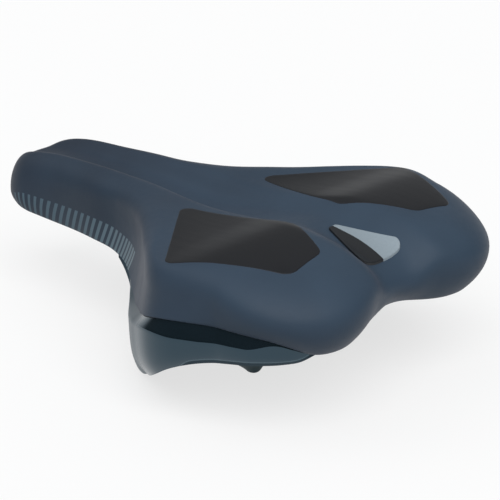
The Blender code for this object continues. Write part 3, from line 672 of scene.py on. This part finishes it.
def gel_material():
    """Film over the gel: near black, half gloss, with faint drawn streaks and a fine orange peel."""
    made, tree, shader = surface(
        "gel_film", GEL_BLACK, roughness=0.36, Specular_IOR_Level=0.32, Specular_Tint=(*GEL_SHINE, 1.0),
    )
    drawn = from_object(tree, stretch=(6, 60, 30), turn=(0, 0, 0.9))
    streak = noise(tree, drawn, scale=4.0, detail=4.0, rough=0.6)
    tree.links.new(blend_colours(tree, streak, GEL_DEEP, GEL_PALE), shader.inputs["Base Color"])
    tree.links.new(spread_between(tree, streak, low=0.36, high=0.48), shader.inputs["Roughness"])
    peel = noise(tree, from_object(tree), scale=500.0, detail=2.0)
    relief(tree, shader, peel, strength=0.06, distance=0.0001)
    return made


def gloss_material():
    """Gloss plastic, blue black, faintly wavy and scuffed; the front is satin with faint upright streaks.

    A pale line of painted highlight marks the rounded lower edge, and the lip below it is duller.
    """
    made, tree, shader = surface(
        "fairing_gloss", GLOSS_BLACK, roughness=0.08,
        Specular_IOR_Level=0.98, Specular_Tint=(*GLOSS_SHINE, 1.0),
    )
    where = from_object(tree)
    wave = noise(tree, where, scale=45.0, detail=1.0)
    face = blend_colours(tree, wave, GLOSS_DEEP, GLOSS_PALE)
    front = ramp(tree, axes(tree, where)["X"], *SATIN_X)
    upright = from_object(tree, stretch=(60, 60, 4))
    streak = noise(tree, upright, scale=12.0, detail=3.0, rough=0.6)
    face = blend_colours(tree, front, face, blend_colours(tree, streak, SATIN_DEEP, SATIN_PALE))
    lip = attribute(tree, "lip")
    # Painted highlight: a thin pale line mixed into the colour at the rounded lower edge.
    off = sums(tree, "MULTIPLY_ADD", lip, HIGHLIGHT_LINE_CRISP, -HIGHLIGHT_LINE_CRISP * HIGHLIGHT_LINE_HEIGHT)
    line = sums(tree, "MAXIMUM", sums(tree, "SUBTRACT", 1.0, sums(tree, "ABSOLUTE", off)), 0.0)
    tree.links.new(blend_colours(tree, line, face, LIP_PAINTED_HIGHLIGHT), shader.inputs["Base Color"])
    level = from_object(tree, stretch=(20, 20, 240))
    scuff = noise(tree, level, scale=30.0, detail=5.0, rough=0.7)
    fine = spread_between(tree, scuff, low=0.03, high=0.10)
    dull = sums(tree, "MULTIPLY", sums(tree, "LESS_THAN", lip, 1.0), LIP_ROUGH)
    rough = sums(tree, "ADD", sums(tree, "MULTIPLY_ADD", front, SATIN_ROUGH, fine), dull)
    tree.links.new(rough, shader.inputs["Roughness"])
    relief(tree, shader, wave, strength=0.03, distance=0.0004)
    return made


def moulded_material(name, colour, low=0.45, high=0.65, shine=0.4, tint=(1.0, 1.0, 1.0)):
    """Textured moulded plastic: spark-eroded grain, slight patchiness in tone and gloss."""
    made, tree, shader = surface(
        name, colour, 0.5 * (low + high), Specular_IOR_Level=shine, Specular_Tint=(*tint, 1.0),
    )
    where = from_object(tree)
    patch = noise(tree, where, scale=60.0, detail=3.0)
    darker = tuple(0.75 * c for c in colour)
    tree.links.new(blend_colours(tree, patch, darker, colour), shader.inputs["Base Color"])
    tree.links.new(spread_between(tree, patch, low, high), shader.inputs["Roughness"])
    grain = noise(tree, where, scale=700.0, detail=3.0, rough=0.6)
    relief(tree, shader, grain, strength=0.25, distance=0.00012)
    return made


def steel_material(name, colour, stretch):
    """Drawn steel: fine scratches along the bar, a little tarnish in patches."""
    made, tree, shader = surface(name, colour, roughness=0.3, Metallic=1.0)
    scratch = noise(tree, from_object(tree, stretch), scale=60.0, detail=4.0, rough=0.6)
    tarnish = noise(tree, from_object(tree), scale=40.0, detail=3.0)
    duller = tuple(0.72 * c for c in colour)
    tree.links.new(blend_colours(tree, tarnish, duller, colour), shader.inputs["Base Color"])
    tree.links.new(spread_between(tree, scratch, low=0.2, high=0.42), shader.inputs["Roughness"])
    relief(tree, shader, scratch, strength=0.08, distance=0.00008)
    return made


def rubber_material():
    """Moulded rubber: charcoal with a dusty bloom and a soft grain."""
    made, tree, shader = surface("damper_rubber", RUBBER_GREY, roughness=0.75)
    where = from_object(tree)
    bloom = noise(tree, where, scale=90.0, detail=4.0)
    tree.links.new(blend_colours(tree, bloom, RUBBER_DEEP, RUBBER_BLOOM), shader.inputs["Base Color"])
    tree.links.new(spread_between(tree, bloom, low=0.66, high=0.86), shader.inputs["Roughness"])
    relief(tree, shader, noise(tree, where, scale=800.0), strength=0.2, distance=0.0001)
    return made


def badge_material():
    """Two-tone label: a pale grey field right of the middle and a black one left of it, split by offset."""
    made, tree, shader = surface("badge_face", LABEL_GREY, roughness=0.40, Specular_IOR_Level=0.30)
    where = from_object(tree)
    side = limited(tree, sums(tree, "MULTIPLY_ADD", axes(tree, where)["Y"], LABEL_CRISP, 0.5))
    fleck = noise(tree, where, scale=900.0, detail=2.0)
    pale = blend_colours(tree, fleck, *LABEL_PALE)
    dark = blend_colours(tree, fleck, *LABEL_DARK)
    tree.links.new(blend_colours(tree, side, pale, dark), shader.inputs["Base Color"])
    relief(tree, shader, fleck, strength=0.05, distance=0.00005)
    return made


def set_material(made, material):
    """Gives an object one material."""
    made.data.materials.clear()
    made.data.materials.append(material)


COVER = cover_material()
GEL = gel_material()
GLOSS = gloss_material()
MOULDED = moulded_material("shell_moulded", SHELL_BLACK)
FOOT = moulded_material("foot_satin", FOOT_TEAL, low=0.46, high=0.60, shine=0.15, tint=FOOT_SHINE)
STEEL = steel_material("rail_steel", RAIL_GREY, stretch=(4, 60, 60))
DARK_STEEL = steel_material("screw_steel", SCREW_GREY, stretch=(30, 30, 30))
RUBBER = rubber_material()
BADGE = badge_material()


# Pieces.


def spoke(q, inset=0.0):
    """Plan points at share q of the way from the spine to the outline moved in by inset."""
    spine = np.clip(LOOP_A, SPINE_FRONT, SPINE_BACK)
    return spine + q * (LOOP_A - inset * OUT_A - spine), q * (LOOP_N - inset * OUT_N)


def moved_in(inset, z):
    """The outline moved in by inset, at height z."""
    return place(LOOP_A - inset * OUT_A, LOOP_N - inset * OUT_N, z)


def bar_values(rows, hem):
    """Point values for the printed bars: count, rise over bar height, run over bar range, share of the pitch.

    A point is carried down to the hem along the bars' lean.
    The count there is the running sum of one over the pitch.
    """
    rise = np.maximum(rows[:, :, 2] - hem, 0)
    foot = LOOP_RUN - through(BAR_LEAN, LOOP_RUN) * rise
    fine = np.linspace(BAR_START, BAR_END, BAR_SAMPLES)
    middle = 0.5 * (fine[1:] + fine[:-1])
    count = np.concatenate([[0], np.cumsum(np.diff(fine) / through(BAR_PITCH, middle))])
    top = rise / through(BAR_HEIGHT, foot)
    top[:RINGS - 1] = NO_BAR
    top[RINGS + FLANK_ROWS + BAR_ROLL_ROWS:] = NO_BAR
    return (
        ("bar_count", np.interp(foot, fine, count)),
        ("bar_top", top),
        ("bar_along", (foot - BAR_START) / (BAR_END - BAR_START)),
        ("bar_share", through(BAR_SHARE, foot)),
    )


def cushion():
    """Cover over its foam as one closed form.

    Rings run from the spine to the outline on the height formula, closer together towards the rim.
    The flank then drops to the hem with a tuck that grows as the square of the drop.
    A half circle rolls the hem under, and a bed above the shell closes the form.
    """
    shares = 1 - (1 - np.linspace(0, 1, RINGS)) ** RING_POWER
    a = np.stack([spoke(q)[0] for q in shares])
    n = np.stack([spoke(q)[1] for q in shares])
    z = height(a[:, :HALF_COLUMNS + 1], n[:, :HALF_COLUMNS + 1])
    z = np.concatenate([z, z[:, HALF_COLUMNS - 1:0:-1]], 1)
    rows = list(place(a, n, z))
    rim = z[-1]
    hem = through(HEM, LOOP_A)
    tuck = through(TUCK, LOOP_A)
    roll = COVER_THICK / 2
    for v in np.linspace(0, 1, FLANK_ROWS + 1)[1:]:
        level = rim + (hem + roll - rim) * v
        rows.append(moved_in(tuck * ((rim - level) / (rim - hem)) ** 2, level))
    for turn in np.linspace(0, math.pi, ROLL_ROWS + 1)[1:]:
        rows.append(moved_in(tuck + roll * (1 - math.cos(turn)), hem + roll - roll * math.sin(turn)))
    bed = hem + SHELL_THICK + BED_GAP
    wall = COVER_THICK + np.maximum(tuck, tuck * ((rim - bed) / (rim - hem)) ** 2)
    rows.append(moved_in(wall, bed))
    rows.append(place(*spoke(BED_LEVEL, wall), bed))
    for q in BED_SLOPE:
        bed_a, bed_n = spoke(q, wall)
        rows.append(place(bed_a, bed_n, shell_centre(bed_a) + SHELL_THICK + BED_GAP))
    rows = np.array(rows)
    return grid_mesh("padded_cover", rows, attributes=bar_values(rows, hem))


def corner_loop(corners, count, side=1):
    """A polygon with arcs at its corners as evenly spaced plan points, mirrored when side is -1."""
    pts = [Vector((c[0], c[1] * side)) for c in corners]
    radii = [c[2] for c in corners]
    if sum(p.x * q.y - q.x * p.y for p, q in zip(pts, pts[1:] + pts[:1])) < 0:
        pts.reverse()
        radii.reverse()
    loop = []
    for i, p in enumerate(pts):
        back = (pts[i - 1] - p).normalized()
        ahead = (pts[(i + 1) % len(pts)] - p).normalized()
        half = back.angle(ahead) / 2
        middle = p + (back + ahead).normalized() * (radii[i] / math.sin(half))
        turn = math.atan2(back.x, -back.y) + np.linspace(0, math.pi - 2 * half, CORNER_STEPS)
        loop.append(np.stack([middle.x + radii[i] * np.cos(turn), middle.y + radii[i] * np.sin(turn)], -1))
    a, n = np.concatenate(loop + [loop[0][:1]]).T
    run = running(a, n)
    even = np.linspace(0, run[-1], count + 1)[:-1]
    return np.stack([np.interp(even, run, a), np.interp(even, run, n)], -1)


def inlay(name, corners, proud, depth, edge, side=1):
    """A slab set in the cover.

    Its top follows the cushion's height plus proud.
    It rolls over at its border in a quarter circle of size edge.
    Its underside is the cushion's height less depth.
    """
    loop = corner_loop(corners, INLAY_COLUMNS, side)
    middle = loop.mean(0)
    border = edge / np.hypot(*(loop - middle).T).min()
    quarter = np.linspace(0, math.pi / 2, INLAY_EDGE_ROWS)
    flat = np.linspace(0, 1, INLAY_FLAT_ROWS + 1)[:-1] * (1 - border)
    away = np.concatenate([flat, 1 - border * (1 - np.sin(quarter))])
    fall = np.concatenate([0 * flat, 1 - np.cos(quarter)]) * edge
    plan = middle + away[:, None, None] * (loop - middle)
    a, n = plan[:, :, 0], plan[:, :, 1]
    z = height(a, n)
    top = place(a, n, z + proud - fall[:, None])
    under = place(a, n, z - depth)
    return grid_mesh(name, np.concatenate([top, under[::-INLAY_UNDER_STEP], under[:1]]))


def fairing(name, side):
    """A gloss wall under the wing's hem: one section carried along the outline.

    Going down, the section leans out over a band and then stands nearly upright.
    Its offset is the running sum of that lean, less a curl at the bottom as a power of the drop's share.
    The inside is the same section, one wall further in, with a flange under the hem.
    The point value lip counts lip heights above the bottom edge.
    """
    keep = np.flatnonzero((HALF_N > WING_FROM) & (HALF_A >= FAIRING_FRONT) & (HALF_A <= FAIRING_BACK))
    keep = keep[keep < np.argmax(HALF_A)]
    a, n, oa, on = (values[keep][:, None] for values in (HALF_A, HALF_N, OUT_A, OUT_N))
    top = through(HEM, a) - HEM_GAP
    tall = np.maximum(top - through(FAIRING_BOTTOM, a), FAIRING_LEAST)
    v = np.linspace(0, 1, FAIRING_ROWS)
    drop = tall * v
    band = np.minimum(eased(BAND_TALL, a, BAND_EASE), BAND_LIMIT * tall)
    slope = eased(BAND_SLOPE, a, BAND_EASE)
    lean = slope + (WALL_SLOPE - slope) * smooth_step(BAND_FADE[0] * band, BAND_FADE[1] * band, drop)
    leaned = np.cumsum(0.5 * (lean[:, 1:] + lean[:, :-1]) * np.diff(drop, axis=1), 1)
    curl = np.minimum(eased(CURL, a, BAND_EASE), CURL_LIMIT * tall) * v**CURL_POWER
    offset = np.concatenate([0 * tall, leaned], 1) - curl
    tip = TIP_INSET * smooth_step(FAIRING_BACK - TIP_RUN, FAIRING_BACK, a)
    start = through(TUCK, a) + FAIRING_INSET + tip
    wall = np.minimum(FAIRING_THICK, WALL_LIMIT * tall)
    outer_in = start - offset
    outer_z = top - drop
    inner_in = (start + wall - offset)[:, ::-1]
    inner_z = (top - wall - (drop - WALL_RISE * wall * v))[:, ::-1]
    flange = start + FAIRING_FLANGE
    section_in = np.concatenate([outer_in, inner_in, flange, flange], 1)
    section_z = np.concatenate([outer_z, inner_z, top - wall, top], 1)
    lip = (tall - drop) / LIP_TALL + LIP_LIFT * (1 - smooth_step(*LIP_FROM, a))
    lip = np.where(a < DULL_FRONT, LIP_DULL, lip)
    hidden = np.full((len(a), section_in.shape[1] - FAIRING_ROWS), LIP_NONE)
    return grid_mesh(
        name, place(a - section_in * oa, (n - section_in * on) * side, section_z),
        attributes=(("lip", np.concatenate([lip, hidden], 1)),), close_ends=True, crease=FAIRING_CREASE,
    )


def bezier(stops):
    """Points along cubic Bezier pieces whose handles lie along X at each stop's pull."""
    stops = np.array(stops)
    t = np.linspace(0, 1, RAIL_STEPS + 1)[:-1, None]
    lines = []
    for p, q in zip(stops, stops[1:]):
        b = p[:3] - (p[3], 0, 0)
        c = q[:3] + (q[3], 0, 0)
        lines.append((1 - t) ** 3 * p[:3] + 3 * (1 - t) ** 2 * t * b + 3 * (1 - t) * t * t * c + t**3 * q[:3])
    return np.concatenate(lines + [stops[-1:, :3]])


def tube(name, path, radius, sides=28):
    """A round bar: a circle square to the path at every point, its ends closed by a bevelled edge."""
    ahead = np.gradient(path, axis=0)
    ahead = ahead / np.linalg.norm(ahead, axis=1, keepdims=True)
    across = np.cross(ahead, (0, 0, 1.0))
    across = across / np.linalg.norm(across, axis=1, keepdims=True)
    over = np.cross(across, ahead)
    turn = np.linspace(0, 2 * math.pi, sides, endpoint=False)
    ring = np.cos(turn)[None, :, None] * across[:, None] + np.sin(turn)[None, :, None] * over[:, None]
    rows = path[:, None] + radius * ring
    bevel = RAIL_END * radius
    rows[0] += bevel * ahead[0]
    rows[-1] -= bevel * ahead[-1]
    first = [path[0] + size * ring[0] for size in (0, radius - bevel)]
    last = [path[-1] + size * ring[-1] for size in (radius - bevel, 0)]
    return grid_mesh(name, np.concatenate([first, rows, last]))


def turned(name, profile, where, sides=64):
    """A turned form: (radius, height) pairs carried round the vertical through where."""
    profile = np.array(profile)
    turn = np.linspace(0, 2 * math.pi, sides, endpoint=False)
    x = where[0] + profile[:, :1] * np.cos(turn)
    y = where[1] + profile[:, :1] * np.sin(turn)
    z = where[2] + profile[:, 1:] + 0 * turn
    return grid_mesh(name, np.stack([x, y, z], -1))


def waisted(tall):
    """Profile of a damper: the radius dips to the waist as a squared sine and rounds off at both ends."""
    v = np.linspace(0, 1, DAMPER_ROWS)
    radius = DAMPER_RADIUS - (DAMPER_RADIUS - DAMPER_WAIST) * np.sin(math.pi * v) ** 2
    radius = radius - DAMPER_ROUND * np.clip(1 - np.minimum(v, 1 - v) / DAMPER_ROUND_SHARE, 0, 1) ** 2
    return np.concatenate([[(0, 0)], np.stack([radius, v * tall], -1), [(0, tall)]])


def pointed_foot(name, where, tall, side, sides=64):
    """A foot under the bridge: circles that widen in a cone from a rounded tip, then stand straight.

    The outer half of every circle is drawn out sideways, in step with the cone.
    """
    v = np.linspace(0, 1, FOOT_ROWS)
    cone = np.clip(v / FOOT_CONE, 0, 1)
    radius = FOOT_TIP + (FOOT_TOP - FOOT_TIP) * cone
    radius = radius - FOOT_ROUND * np.clip(1 - v / FOOT_ROUND_SHARE, 0, 1) ** 2
    radius = np.concatenate([[0], radius, [0]])[:, None]
    reach = 1 + FOOT_REACH * np.concatenate([[0], cone, [1]])[:, None]
    turn = np.linspace(0, 2 * math.pi, sides, endpoint=False)
    x = where[0] + radius * np.cos(turn)
    y = where[1] + side * radius * np.sin(turn) * np.where(np.sin(turn) > 0, reach, 1)
    z = where[2] + tall * np.concatenate([[0], v, [1]])[:, None] + 0 * turn
    return grid_mesh(name, np.stack([x, y, z], -1))


cover = cushion()
set_material(cover, COVER)
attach(cover, "seat")
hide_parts("cover", "foam_core")

for word, side in (("left", 1), ("right", -1)):
    pad = inlay("gel_insert_" + word, PAD_CORNERS, PAD_PROUD, PAD_DEPTH, PAD_EDGE, side)
    set_material(pad, GEL)
    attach(pad, "seat")
    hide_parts("gel_pad_" + word)
    wall = fairing("wing_fairing_" + word, side)
    set_material(wall, GLOSS)
    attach(wall, "seat")
    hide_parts("side_fairing_" + word)
    path = bezier([(x, y * side, z, pull) for x, y, z, pull in RAIL_STOPS])
    bar = tube("rail_bar_" + word, path, RAIL_RADIUS)
    set_material(bar, STEEL)
    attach(bar, "frame")
    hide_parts("rail_" + word)
    low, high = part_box("damper_" + word)
    damper = turned("rubber_damper_" + word, waisted(high.z - low.z), (DAMPER_X, DAMPER_Y * side, low.z))
    set_material(damper, RUBBER)
    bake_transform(damper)
    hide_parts("damper_" + word)
    low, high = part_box("foot_" + word)
    foot = pointed_foot("bridge_foot_" + word, (DAMPER_X, DAMPER_Y * side, low.z), high.z - low.z, side)
    set_material(foot, FOOT)
    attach(foot, "frame")
    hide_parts("foot_" + word)

badge = inlay("tail_label", BADGE_CORNERS, BADGE_PROUD, BADGE_DEPTH, BADGE_EDGE)
set_material(badge, BADGE)
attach(badge, "seat")
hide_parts("tail_badge")

for label in ("base_shell", "nose_bracket", "upper_cup_left", "upper_cup_right", "nose_yoke", "rear_bridge"):
    set_material(nodes[label], MOULDED)
for label in ("pivot_pin", "foot_bolt_left", "foot_bolt_right"):
    set_material(nodes[label], STEEL)
for label in nodes:
    if "_screw_" in label:
        set_material(nodes[label], DARK_STEEL)


# Stage.


def pale_stage():
    """A wide pale floor under the saddle.

    It is white in the picture and in gloss, and grey in the light that it throws.
    The underside of the paper lets the view through.
    """
    size = FLOOR_HALF
    rows = np.array([
        [(-size, -size, FLOOR_Z), (size, -size, FLOOR_Z)],
        [(-size, size, FLOOR_Z), (size, size, FLOOR_Z)],
    ])
    floor = grid_mesh("floor", rows, round_it=False)
    if floor.data.polygons[0].normal.z < 0:
        floor.data.flip_normals()
    made, tree, shader = surface("floor_paper", PAPER, roughness=0.9, Specular_IOR_Level=0.1)
    ray = add(tree, "ShaderNodeLightPath")
    seen = sums(tree, "MAXIMUM", ray.outputs["Is Camera Ray"], ray.outputs["Is Glossy Ray"])
    seen = sums(tree, "MAXIMUM", seen, ray.outputs["Is Transmission Ray"])
    paper = blend_colours(tree, noise(tree, from_object(tree), scale=3.0), PAPER_DEEP, PAPER_PALE)
    tree.links.new(blend_colours(tree, seen, FLOOR_GREY, paper), shader.inputs["Base Color"])
    white = add(tree, "ShaderNodeEmission")
    mixed = add(tree, "ShaderNodeMixShader")
    tree.links.new(sums(tree, "MULTIPLY", seen, FLOOR_WHITE), mixed.inputs[0])
    tree.links.new(shader.outputs[0], mixed.inputs[1])
    tree.links.new(white.outputs[0], mixed.inputs[2])
    facing = add(tree, "ShaderNodeNewGeometry")
    clear = add(tree, "ShaderNodeBsdfTransparent")
    sided = add(tree, "ShaderNodeMixShader")
    tree.links.new(facing.outputs["Backfacing"], sided.inputs[0])
    tree.links.new(mixed.outputs[0], sided.inputs[1])
    tree.links.new(clear.outputs[0], sided.inputs[2])
    tree.links.new(sided.outputs[0], tree.nodes["Material Output"].inputs["Surface"])
    set_material(floor, made)
    floor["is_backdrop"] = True


def broad_light(name, where, level, spread):
    """A distant lamp aimed from where at the origin; level is what it adds to white paper that faces it."""
    lamp = bpy.data.lights.new(name, "SUN")
    lamp.energy = level * math.pi
    lamp.angle = math.radians(spread)
    made = bpy.data.objects.new(name, lamp)
    made.rotation_mode = "QUATERNION"
    made.rotation_quaternion = Vector(where).to_track_quat("Z", "Y")
    bpy.context.scene.collection.objects.link(made)


def studio():
    """A room that is bright overhead and dim at the horizon, but for a pale backdrop behind the saddle.

    One broad lamp stands above and a weaker one at the nose side.
    """
    world = bpy.data.worlds.new("studio")
    world.use_nodes = True
    bpy.context.scene.world = world
    tree = world.node_tree
    back = tree.nodes["Background"]
    back.inputs["Color"].default_value = (*ROOM_WHITE, 1.0)
    where = add(tree, "ShaderNodeTexCoord").outputs["Generated"]
    rise = axes(tree, where)["Z"]
    level = ramp(tree, rise, *ROOM_RISE, HORIZON_LEVEL, ZENITH_LEVEL)
    behind = add(tree, "ShaderNodeVectorMath", operation="DOT_PRODUCT")
    behind.inputs[1].default_value = Vector((-BACK.x, -BACK.y, 0)).normalized()
    tree.links.new(where, behind.inputs[0])
    screen = ramp(tree, behind.outputs["Value"], *BACKDROP_SIDE, 0.0, BACKDROP_LEVEL)
    low = ramp(tree, rise, *BACKDROP_TOP, 1.0, 0.0)
    total = sums(tree, "ADD", level, sums(tree, "MULTIPLY", screen, low))
    tree.links.new(total, back.inputs["Strength"])
    broad_light("key", KEY_FROM, KEY_LEVEL, KEY_SPREAD)
    broad_light("side", SIDE_FROM, SIDE_LEVEL, SIDE_SPREAD)


def photo_camera():
    """The photograph's viewpoint: a long lens aimed at the middle, rolled and shifted to its framing."""
    data = bpy.data.cameras.new("photo_camera")
    data.lens = LENS
    data.shift_x = SHIFT_X
    data.shift_y = SHIFT_Y
    data.clip_start = CLIP_START
    made = bpy.data.objects.new("photo_camera", data)
    bpy.context.scene.collection.objects.link(made)
    back = BACK.normalized()
    right = Vector((0, 0, 1)).cross(back).normalized()
    up = back.cross(right)
    rolled_right = right * math.cos(ROLL) + up * math.sin(ROLL)
    rolled_up = up * math.cos(ROLL) - right * math.sin(ROLL)
    stand = TARGET + back * DISTANCE
    made.matrix_world = Matrix((
        (rolled_right.x, rolled_up.x, back.x, stand.x),
        (rolled_right.y, rolled_up.y, back.y, stand.y),
        (rolled_right.z, rolled_up.z, back.z, stand.z),
        (0, 0, 0, 1),
    ))
    bpy.context.scene.camera = made


pale_stage()
studio()
photo_camera()
bpy.context.scene.view_settings.view_transform = "Standard"

low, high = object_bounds()
